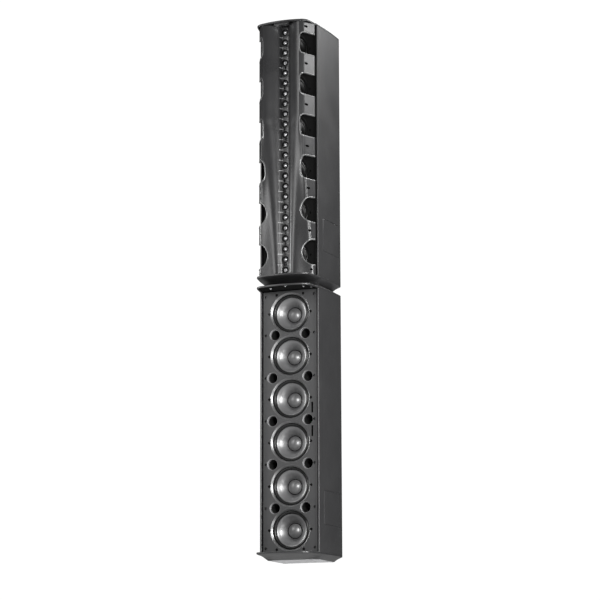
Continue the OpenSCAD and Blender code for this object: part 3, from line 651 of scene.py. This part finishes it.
for cab, z_low in CABINETS.items():
    cones, caps, rolls = Shape(), Shape(), Shape()
    for z in WOOFER_Z:
        cones.lathe(cone_profile(), 0, z_low + z, 112)
        profile = dust_cap_profile()
        caps.lathe(profile[:-3], 0, z_low + z, 72)
        # The groove round each dust cap takes the near-black painted shade
        caps.lathe(profile[-4:], 0, z_low + z, 72, slot=1)
        rolls.lathe(surround_profile(), 0, z_low + z, 112, closed=True)
    # The upper woofers' cones and dust caps get the painted-shade coating
    coat, cap_coat = (CONE, DOME) if cab == "lf" else (CONE_PAINTED_SHADE, CONE_PAINTED_SHADE)
    cones.make(f"{cab}_cones_visual", [coat], 40, f"{cab}_cone_set", [f"{cab}_cones"], "cone_coating")
    caps.make(f"{cab}_dust_caps_visual", [cap_coat, PAINTED_SHADE_BLACK], 40, f"{cab}_cone_set", [f"{cab}_dust_caps"],
              "dust_cap_coating")
    roll = rolls.make(f"{cab}_surrounds_visual", [RUBBER], 40, None, [f"{cab}_surrounds"],
                      "surround_rubber")
    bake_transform(roll)

# ---------------------------------------------------------------- ports


def port_tubes(name, z_low):
    shape = Shape()
    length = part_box(name)[1].y - BAFFLE_Y
    wall = 2 * MM
    for x, z in PORT_PLACES:
        profile = [(PORT_R + wall, BAFFLE_T), (PORT_R, BAFFLE_T), (PORT_R, length - 2 * MM),
                   (PORT_R + wall / 2, length - 0.4 * MM), (PORT_R + wall, length), (PORT_R + wall, BAFFLE_T)]
        shape.lathe(profile, x, z_low + z, 64)
    return shape.make(name + "_visual", [PORT], 40, replaces=[name], slot="port_plastic")


port_tubes("lf_port_tubes", CABINETS["lf"])

# ---------------------------------------------------------------- screws


SCREW_STEPS, STUD_STEPS = 24, 28


def screw(shape, x, z, front, length):
    """A pan-head screw with a hexagonal socket, its head's top at front."""
    r, t = HEAD_R, 2.5 * MM
    hexagon = 6
    socket = 2.0 * MM
    profile = [(r * 0.55, 0), (r * 0.86, 0.25 * MM), (r, 0.9 * MM), (r, t), (1.9 * MM, t), (1.9 * MM, length),
               (0.02 * MM, length)]
    shape.lathe(profile, x, z, SCREW_STEPS, y=front)
    turns = [TAU * k / SCREW_STEPS for k in range(SCREW_STEPS)]
    rim = [(x + r * 0.55 * math.cos(t), front, z + r * 0.55 * math.sin(t)) for t in turns]
    corner = [(x + socket * math.cos(TAU * k / hexagon), z + socket * math.sin(TAU * k / hexagon))
              for k in range(hexagon)]
    top, deep = [], []
    for k in range(SCREW_STEPS):
        i, t2 = divmod(k * hexagon / SCREW_STEPS, 1)
        a, b = corner[int(i) % hexagon], corner[(int(i) + 1) % hexagon]
        px, pz = a[0] + (b[0] - a[0]) * t2, a[1] + (b[1] - a[1]) * t2
        top.append((px, front, pz))
        deep.append((px, front + 1.6 * MM, pz))
    shape.grid([rim, top, deep], closed_columns=True)
    shape.add(deep, shared_ends(deep))


for cab, z_low in CABINETS.items():
    shape = Shape()
    for x, z in WOOFER_SCREWS:
        screw(shape, x, z_low + z, BAFFLE_Y + 2.5 * MM, 13 * MM)
    shape.make(f"{cab}_woofer_screws_visual", [SCREW_BLACK_AND_SHADE], 30, replaces=[f"{cab}_woofer_screws"],
               slot="screw_black")
shape = Shape()
for z in EDGE_SCREW_Z:
    for s in (-1, 1):
        screw(shape, s * EDGE_X, CABINETS["lf"] + z, BAFFLE_Y + 4.5 * MM, 7.4 * MM)
shape.make("lf_baffle_screws_visual", [SCREW_DARK], 30, replaces=["lf_baffle_screws"], slot="screw_zinc")

# ---------------------------------------------------------------- waveguide
GUIDE_Z0, GUIDE_Z1 = LIP_H + 0.4 * MM, CAB_H - LIP_H - 0.4 * MM
FLARE_TOP = 613 * MM
SLOT_Y = BAFFLE_Y - 45 * MM
MOUTH_X = 14 * MM


def at(x, y):
    """A point given in millimetres from the baffle's front face and the middle."""
    return Vector((x * MM, BAFFLE_Y + y * MM))


EDGE, BEND, RIDGE, CREASE = at(114.5, -27), at(88, -80), at(74, -88), at(42, -57)


def flare(z):
    return max(0, (FLARE_TOP - z) / FLARE_TOP)


def along_side(s):
    if s < 0.22:
        return RIDGE + (BEND - RIDGE) * s / 0.22
    return BEND + (EDGE - BEND) * (s - 0.22) / 0.78


def bezier(a, b, c, d, t):
    return (1 - t) ** 3 * a + 3 * (1 - t) ** 2 * t * b + 3 * (1 - t) * t * t * c + t ** 3 * d


# The line is smoothed SOFTENING times between these two points, the more so where the waveguide flares
CREASE_START, CREASE_END, SOFTENING = 8, 36, 16


def wing(z):
    """Front face of the waveguide's right half at height z, from its slot to its outer edge."""
    f = flare(z)
    c = RIDGE + (CREASE - RIDGE) * f ** 0.6
    s = 0.83 * f
    m = along_side(s)
    start = Vector((MOUTH_X, SLOT_Y))
    line = [bezier(start, start + Vector((6 * MM, 0.45 * (c.y - SLOT_Y))),
                   c + Vector((-26 * MM, 3 * MM)), c, k / 22) for k in range(23)]
    line += [bezier(c, c + 0.3 * (m - c) + Vector((0, 4 * MM * f)),
                    c + 0.7 * (m - c) + Vector((0, 8 * MM * f)), m, k / 10) for k in range(1, 11)]
    line += [along_side(s + (1 - s) * k / 12) for k in range(1, 13)]
    for _ in range(SOFTENING):
        before, after = line[CREASE_START - 1:], line[CREASE_START + 1:]
        inside = [p + f * (0.25 * a + 0.25 * b - 0.5 * p)
                  for a, p, b in zip(before, line[CREASE_START:CREASE_END], after)]
        line = line[:CREASE_START] + inside + line[CREASE_END:]
    return line


# The moulding's thickness and how many levels it is built in; the depths between which its openings are
# cut, in millimetres from the baffle; and the radius of a boss's hole, wider at its front
GUIDE_T, LEVELS = 4 * MM, 96
CUT_FRONT, CUT_BACK = -112, -15
BOSS_FRONT_R, BOSS_BACK_R = 4.6 * MM, 4.5 * MM


def boss_x(z):
    return (95 + 8 * flare(z)) * MM


def waveguide(name, z_low):
    """The moulded horn: two mirrored wings with side openings over the woofers."""
    levels = [GUIDE_Z0 + (GUIDE_Z1 - GUIDE_Z0) * k / LEVELS for k in range(LEVELS + 1)]
    rows = []
    for z in levels:
        front = wing(z)
        back = [p + Vector((3 * MM if k < 24 else 0, GUIDE_T)) for k, p in enumerate(front)]
        back[0] = Vector((MOUTH_X, SLOT_Y + GUIDE_T))
        ring = front + list(reversed(back))
        rows.append([(p.x, p.y, z_low + z) for p in ring])
    shape = Shape()
    shape.grid(rows, closed_columns=True)
    shape.add(rows[0], shared_ends(rows[0]))
    shape.add(rows[-1], shared_ends(rows[-1]))
    piece = shape.make(name + "_visual", [GUIDE], 28, body=None)
    cutter = Shape()
    for z in WOOFER_Z:
        ring = notch_outline(z)
        rows = [[(x, BAFFLE_Y + y * MM, z_low + zz) for x, zz in ring] for y in (CUT_FRONT, CUT_BACK)]
        cutter.grid(rows, closed_columns=True)
        cutter.add(rows[0], shared_ends(rows[0]))
        cutter.add(rows[1], shared_ends(rows[1]))
    for z in EDGE_SCREW_Z:
        closed_lathe(cutter, [(BOSS_FRONT_R, CUT_FRONT * MM), (BOSS_BACK_R, CUT_BACK * MM)],
                     boss_x(z), z_low + z, 32)
    cut(piece, cutter.make(name + "_cutter", [GUIDE], 30, body=None), 28)
    mirrored(piece)
    piece.data.set_sharp_from_angle(angle=math.radians(28))
    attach(piece, "cabinets")
    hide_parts(name)
    return piece


NOTCH_X, NOTCH_R = 119 * MM, 48 * MM
NOTCH_INNER, NOTCH_HALF = 77 * MM, 42 * MM


def notch_point(a, z):
    """A point (x, z) on the outline of the side opening whose middle is at height z: round below,
    squarer where the waveguide is narrow."""
    boxy = min(1, max(0, (z - 330 * MM) / (200 * MM)))
    c, s = math.cos(a), math.sin(a)
    if c >= 0:
        return NOTCH_X + NOTCH_R * c, z + NOTCH_R * s
    power = 2 + 3 * boxy
    scale = (abs(c) ** power + abs(s) ** power) ** (-1 / power)
    reach = NOTCH_R + (NOTCH_X - NOTCH_INNER - NOTCH_R) * boxy
    height = NOTCH_R + (NOTCH_HALF - NOTCH_R) * boxy
    return NOTCH_X + scale * c * reach, z + scale * s * height


NOTCH_STEPS = 96


def notch_outline(z):
    return [notch_point(TAU * k / NOTCH_STEPS, z) for k in range(NOTCH_STEPS)]


def wing_at(x, z):
    """The wing's front point at (x, z) and its direction in plan."""
    line = wing(z)
    x = max(x, line[0].x)
    for p, q in zip(line, line[1:]):
        if p.x <= x <= q.x and q.x > p.x:
            t = (x - p.x) / (q.x - p.x)
            return p.y + (q.y - p.y) * t, (q - p).normalized()
    p, q = line[-2], line[-1]
    return q.y + (q.y - p.y) / (q.x - p.x) * (x - q.x), (q - p).normalized()


# Section of the rolled rim round a side opening: distance from the opening, height over the wing
RIM_SECTION = [(5.2, -0.9), (4.2, 0.3), (2.8, 1.0), (1.2, 1.1), (0.1, 0.4), (-0.5, -0.8), (-0.6, -4.0),
               (-0.6, -7.0), (1.6, -7.0), (3.6, -3.2)]


def notch_rims(name, z_low):
    """Rolled rims that follow the side openings over the curved wings."""
    shape = Shape()
    steps = 72
    for middle in WOOFER_Z:
        limit = math.acos((EDGE.x - 0.3 * MM - NOTCH_X) / NOTCH_R)
        angles = [limit + (TAU - 2 * limit) * k / steps for k in range(steps + 1)]
        rows = []
        for a in angles:
            x, z = notch_point(a, middle)
            if x > EDGE.x:
                continue
            before, after = notch_point(a - 0.01, middle), notch_point(a + 0.01, middle)
            n = Vector((-(after[1] - before[1]), after[0] - before[0])).normalized()
            if n.x * (x - NOTCH_X) + n.y * (z - middle) < 0:
                n = -n
            row = []
            for d, h in RIM_SECTION:
                px, pz = min(x + d * MM * n.x, EDGE.x), z + d * MM * n.y
                y, along = wing_at(px, pz)
                row.append((px + h * MM * along.y, y - h * MM * along.x, z_low + pz))
            rows.append(row)
        shape.grid(rows, closed_columns=True)
        shape.add(rows[0], shared_ends(rows[0]))
        shape.add(rows[-1], shared_ends(rows[-1]))
    piece = shape.make(name, [RIM], 50, body=None, slot="waveguide_plastic")
    mirrored(piece)
    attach(piece, "cabinets")


waveguide("hf_waveguide", CABINETS["hf"])
notch_rims("hf_notch_rims", CABINETS["hf"])

# ---------------------------------------------------------------- tweeters
rings, domes = Shape(), Shape()
STRIP_T = 3.6 * MM
for z in TWEETER_Z:
    zz = CABINETS["hf"] + z
    rings.lathe([(13.4 * MM, 4 * MM), (13.4 * MM, -0.2 * MM), (12.6 * MM, -0.6 * MM), (11.4 * MM, -0.6 * MM),
                 (10.8 * MM, 0.9 * MM), (9.6 * MM, 1.0 * MM), (9.2 * MM, 2.2 * MM), (7.0 * MM, 3.2 * MM)],
                0, zz, 56, y=SLOT_Y, closed=True)
    domes.lathe([(max(6.35 * math.sin(a), 0.02) * MM, (3.4 - 4.9 * math.cos(a)) * MM)
                 for a in [math.pi / 2 * k / 10 for k in range(11)]]
                + [(7.2 * MM, 3.6 * MM), (0.02 * MM, 4.0 * MM)], 0, zz, 40, y=SLOT_Y, closed=True)
HOLE_R = 11.6 * MM
STRIP_X = 14.6 * MM
RIB_H, RIB_HALF = 1.5 * MM, 1.7 * MM


def tweeter_strip():
    """The strip between the wings, with a bevelled hole over each tweeter."""
    shape = Shape()
    steps = 64
    for z in TWEETER_Z:
        zz = CABINETS["hf"] + z
        rows = []
        for r, d in ((HOLE_R, STRIP_T / MM), (HOLE_R, 0.8), (HOLE_R + 0.25 * MM, 0.25),
                     (HOLE_R + 0.8 * MM, 0)):
            turns = [TAU * k / steps for k in range(steps)]
            rows.append([(r * math.cos(t), SLOT_Y + d * MM, zz + r * math.sin(t)) for t in turns])
        edge = []
        for k in range(steps):
            c, s = math.cos(TAU * k / steps), math.sin(TAU * k / steps)
            t = min(STRIP_X / max(abs(c), 1e-6), TWEETER_PITCH / 2 / max(abs(s), 1e-6))
            edge.append((c * t, SLOT_Y, zz + s * t))
        rows.append(edge)
        rows.append([(px, SLOT_Y + STRIP_T, pz) for px, _, pz in edge])
        shape.grid(rows, closed_rows=True, closed_columns=True)
    return shape.make("hf_tweeter_strip", [GUIDE], 25, slot="waveguide_plastic")


def ribs():
    """Small ribs between the tweeters, running out onto the wings."""
    shape = Shape()
    for z in [tweeter + TWEETER_PITCH / 2 for tweeter in TWEETER_Z[:-1]]:
        for sign, low, high in ((-1, 8, 19 + 10 * flare(z)), (1, 8, 16 + 4 * flare(z))):
            rows = []
            for k in range(13):
                x = (low + (high - low) * k / 12) * MM
                y, along = (SLOT_Y, Vector((1, 0))) if x < MOUTH_X else wing_at(x, z)
                fade = math.sin(math.pi * min(1, max(0.05, min(k, 12 - k) / 4)) / 2)
                row = []
                for j in range(7):
                    t = math.pi * j / 6
                    h = RIB_H * (math.sin(t) * fade) - 0.2 * MM
                    row.append((sign * (x + h * along.y), y - h * along.x,
                                CABINETS["hf"] + z + RIB_HALF * math.cos(t)))
                rows.append(row)
            shape.grid(rows, closed_columns=True)
            shape.add(rows[0], shared_ends(rows[0]))
            shape.add(rows[-1], shared_ends(rows[-1]))
    # The ribs are coloured light as a painted highlight
    return shape.make("hf_tweeter_ribs", [RIB_PAINTED_HIGHLIGHT], 60, slot="waveguide_plastic")


tweeter_strip()
ribs()
rings.make("hf_tweeter_rings_visual", [TWEETER_RING], 30, replaces=["hf_tweeter_rings"],
           slot="tweeter_ring_plastic")
domes.make("hf_tweeter_domes_visual", [TWEETER_DOME], 40, replaces=["hf_tweeter_domes"],
           slot="tweeter_dome")

# ---------------------------------------------------------------- small fittings


def stud(shape, x, y, z0, z1, r):
    """An upright round stud from z0 to z1 with a rounded free end at z1."""
    s = 1 if z1 > z0 else -1
    soft = 0.3 * r
    rows = []
    for radius, z in ((r, z0), (r, z1 - s * soft), (r - 0.3 * soft, z1 - s * 0.3 * soft), (r - soft, z1)):
        turns = [TAU * k / STUD_STEPS for k in range(STUD_STEPS)]
        rows.append([(x + radius * math.cos(t), y + radius * math.sin(t), z) for t in turns])
    shape.grid(rows, closed_columns=True)
    for row in (rows[0], rows[-1]):
        shape.add(row, shared_ends(row))


def soft_block(name, low, high, soft, material, slot):
    """A block with rounded edges."""
    shape = Shape()
    box_shape(shape, low, high)
    piece = shape.make(name, [material], 40, slot=slot)
    bm = bmesh.new()
    bm.from_mesh(piece.data)
    bmesh.ops.bevel(bm, geom=bm.edges[:], offset=soft, segments=3, profile=0.5, affect="EDGES")
    bm.to_mesh(piece.data)
    bm.free()
    return piece


BLOCK_X, BLOCK_FRONT, BLOCK_BACK, BLOCK_DROP = 28 * MM, -90 * MM, -69 * MM, 7 * MM
under_top = CABINETS["hf"] + CAB_H - LIP_H
soft_block("hf_top_block", (-BLOCK_X, BAFFLE_Y + BLOCK_FRONT, under_top - BLOCK_DROP),
           (BLOCK_X, BAFFLE_Y + BLOCK_BACK, under_top + CHANNEL_H), 1.2 * MM, GUIDE, "waveguide_plastic")
LIP_SCREWS = [(10, -72), (72, -40), (93, -16), (-60, -48)]
heads = Shape()
for x, y in LIP_SCREWS:
    top = CABINETS["lf"] + CAB_H - LIP_H
    stud(heads, x * MM, BAFFLE_Y + y * MM, top + CHANNEL_H, top + 1.2 * MM, 4.4 * MM)
heads.make("lf_lip_screws", [SCREW_ZINC], 30, slot="screw_zinc")
feet = Shape()
for x in (-86, 86):
    base = CABINETS["lf"] + LIP_H
    stud(feet, x * MM, BAFFLE_Y - 7 * MM, base, base + 6 * MM, 4 * MM)
feet.make("lf_lip_studs", [CAP], 30, slot="cap_moulding")

# ---------------------------------------------------------------- carried-over CAD nodes
KEPT = {
    "end_plates": PLATE, "baskets": BASKET, "magnets": STEEL, "spiders": SPIDER, "voice_coils": COPPER,
    "crossover_board": LAMINATE, "wadding": FIBRE, "input_plate": TRAY, "terminal_block": TERMINAL,
    "tap_knob": CONTROL, "voicing_switch": CONTROL, "coverage_switch": CONTROL, "plate_screws": STEEL,
    "wall_inserts": BRASS, "back_panel": SKIN, "tweeter_bar": BASKET, "tweeter_motors": STEEL,
    "waveguide_screws": SCREW_BLACK_AND_SHADE, "joining_studs": STEEL,
}
SOFT_EDGE, SOFT_FROM = 0.5 * MM, 50
SOFTENED = ["end_plates", "input_plate", "terminal_block", "voicing_switch", "coverage_switch", "back_panel"]
for name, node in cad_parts.items():
    if node.hide_render:
        continue
    part = name[3:] if name[:3] in ("lf_", "hf_") else name
    material = KEPT[part]
    if node.material_slots:
        for holder in node.material_slots:
            holder.material = material
    else:
        node.data.materials.append(material)
    if part in SOFTENED:
        bevel = node.modifiers.new("soft_edges", "BEVEL")
        bevel.width = SOFT_EDGE
        bevel.segments = 2
        bevel.limit_method = "ANGLE"
        bevel.angle_limit = math.radians(SOFT_FROM)
        bevel.harden_normals = True

# ---------------------------------------------------------------- camera
LENS, SENSOR, FAR = 120, 36, 100
CAMERA_AT = Vector((2.765, -6.900, -0.542))
AZIMUTH, ELEVATION, ROLL = 21.69, -11.59, -0.15

camera_data = bpy.data.cameras.new("camera")
camera = bpy.data.objects.new("camera", camera_data)
bpy.context.scene.collection.objects.link(camera)
camera_data.sensor_width = SENSOR
camera_data.lens = LENS
camera_data.clip_end = FAR
a, e = math.radians(AZIMUTH), math.radians(ELEVATION)
away = Vector((math.sin(a) * math.cos(e), -math.cos(a) * math.cos(e), math.sin(e)))
turn = away.to_track_quat("Z", "Y").to_matrix().to_4x4() @ Matrix.Rotation(math.radians(ROLL), 4, "Z")
camera.matrix_world = Matrix.Translation(CAMERA_AT) @ turn
bpy.context.scene.camera = camera

# ---------------------------------------------------------------- floor and light
floor_shape = Shape()
# The floor's height, half its width, and how much light it gives off, so that it isn't black far from the lights
FLOOR_Z, REACH, FLOOR_GLOW = -1.35, 30, 0.25
floor_shape.add([(-REACH, -REACH, FLOOR_Z), (REACH, -REACH, FLOOR_Z), (REACH, REACH, FLOOR_Z),
                 (-REACH, REACH, FLOOR_Z)], [(0, 1, 2, 3)])
FLOOR = node_material("studio_floor", (0.42, 0.42, 0.42), 0.8, mottle=0.01)
for node in FLOOR.node_tree.nodes:
    if node.type == "BSDF_PRINCIPLED":
        node.inputs["Emission Color"].default_value = (1, 1, 1, 1)
        node.inputs["Emission Strength"].default_value = FLOOR_GLOW
floor = floor_shape.make("studio_floor", [FLOOR], body=None)


def area_light(name, place, target, size, size_y, power):
    data = bpy.data.lights.new(name, "AREA")
    data.shape = "RECTANGLE"
    data.size, data.size_y = size, size_y
    data.energy = power
    light = bpy.data.objects.new(name, data)
    bpy.context.scene.collection.objects.link(light)
    aim = Vector(target) - Vector(place)
    light.visible_camera = False
    turned = aim.to_track_quat("-Z", "Y").to_matrix().to_4x4()
    light.matrix_world = Matrix.Translation(Vector(place)) @ turned
    return light


def softbox(name, azimuth, distance, height, aim_height, size, power):
    """A rectangular softbox at a direction round the column; azimuth 0 is straight ahead of the baffles."""
    t = math.radians(azimuth)
    place = (distance * math.sin(t), -distance * math.cos(t), height)
    return area_light(name, place, (0, 0, aim_height), size[0], size[1], power)


softbox("left_strip", -72, 2.8, 1.1, 0.85, (0.4, 1.3), 75)
softbox("front_left_fill", -34, 4.2, 2.4, 1.25, (1.3, 2.6), 72)
softbox("front_right_box", 31, 3.2, 0.95, 0.5, (0.8, 1.0), 125)
softbox("right_strip", 67, 3.0, 0.95, 0.85, (0.4, 1.6), 135)
softbox("right_high", 108, 2.2, 2.9, 1.9, (0.8, 1.0), 30)
softbox("back_right", 152, 3.0, 4.0, 2.1, (1.0, 0.8), 80)
softbox("low_right", 75, 2.2, -0.9, 0.2, (1.0, 1.0), 28)

# Ambient light by direction, from straight down (0) to straight up (1), and the white seen behind it all
DOWN_GREY, UP_GREY = 0.10, 0.03
BETWEEN = ((0.38, 0.03), (0.62, 0.06))
BACKDROP_STRENGTH = 1.05
world = bpy.data.worlds.new("studio")
bpy.context.scene.world = world
world.use_nodes = True
tree = world.node_tree
tree.nodes.clear()
out = tree.nodes.new("ShaderNodeOutputWorld")
mix = tree.nodes.new("ShaderNodeMixShader")
path = tree.nodes.new("ShaderNodeLightPath")
ambient = tree.nodes.new("ShaderNodeBackground")
backdrop = tree.nodes.new("ShaderNodeBackground")
backdrop.inputs["Color"].default_value = (1, 1, 1, 1)
backdrop.inputs["Strength"].default_value = BACKDROP_STRENGTH
direction = tree.nodes.new("ShaderNodeTexCoord")
height = tree.nodes.new("ShaderNodeSeparateXYZ")
ramp = tree.nodes.new("ShaderNodeValToRGB")
ramp.color_ramp.elements[0].position = 0.0
ramp.color_ramp.elements[0].color = (DOWN_GREY, DOWN_GREY, DOWN_GREY, 1)
ramp.color_ramp.elements[1].position = 1.0
ramp.color_ramp.elements[1].color = (UP_GREY, UP_GREY, UP_GREY, 1)
for at_height, grey in BETWEEN:
    stop = ramp.color_ramp.elements.new(at_height)
    stop.color = (grey, grey, grey, 1)
rescale = tree.nodes.new("ShaderNodeMapRange")
rescale.inputs["From Min"].default_value = -1
rescale.inputs["From Max"].default_value = 1
tree.links.new(direction.outputs["Generated"], height.inputs[0])
tree.links.new(height.outputs["Z"], rescale.inputs["Value"])
tree.links.new(rescale.outputs["Result"], ramp.inputs["Fac"])
tree.links.new(ramp.outputs["Color"], ambient.inputs["Color"])
tree.links.new(path.outputs["Is Camera Ray"], mix.inputs[0])
tree.links.new(ambient.outputs[0], mix.inputs[1])
tree.links.new(backdrop.outputs[0], mix.inputs[2])
tree.links.new(mix.outputs[0], out.inputs["Surface"])
bpy.context.scene.view_settings.view_transform = "Standard"
